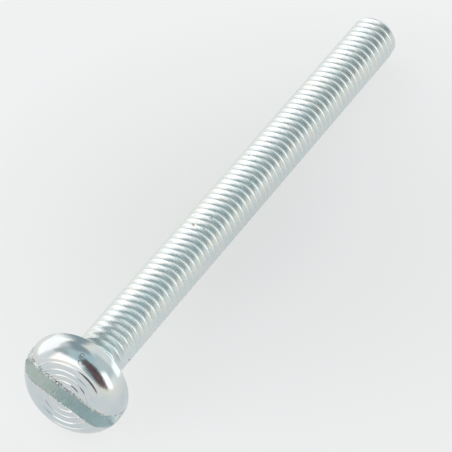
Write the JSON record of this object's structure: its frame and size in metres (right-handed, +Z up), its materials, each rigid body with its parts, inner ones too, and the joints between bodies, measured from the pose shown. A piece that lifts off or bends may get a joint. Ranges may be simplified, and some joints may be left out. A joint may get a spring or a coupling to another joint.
{
  "type": "slotted pan head machine screw",
  "caption": "Straight steel machine screw with a slotted pan head, threaded up to the head and ending in a short tapered point, lying as it comes to rest.",
  "frame": {"origin": "centre of the bounding box's base, on the surface that the screw lies on", "axes": "+Z up; the screw lies along X with its point towards +X and its axis dipping 2.5 degrees towards the point, because the rim of the head is wider than the thread"},
  "size_m": [0.052, 0.0082, 0.0082],
  "materials": {
    "zinc_plate": "bright zinc plate, lightly handled"
  },
  "bodies": {
    "root": {"screw": "zinc_plate"}
  },
  "joints": []
}
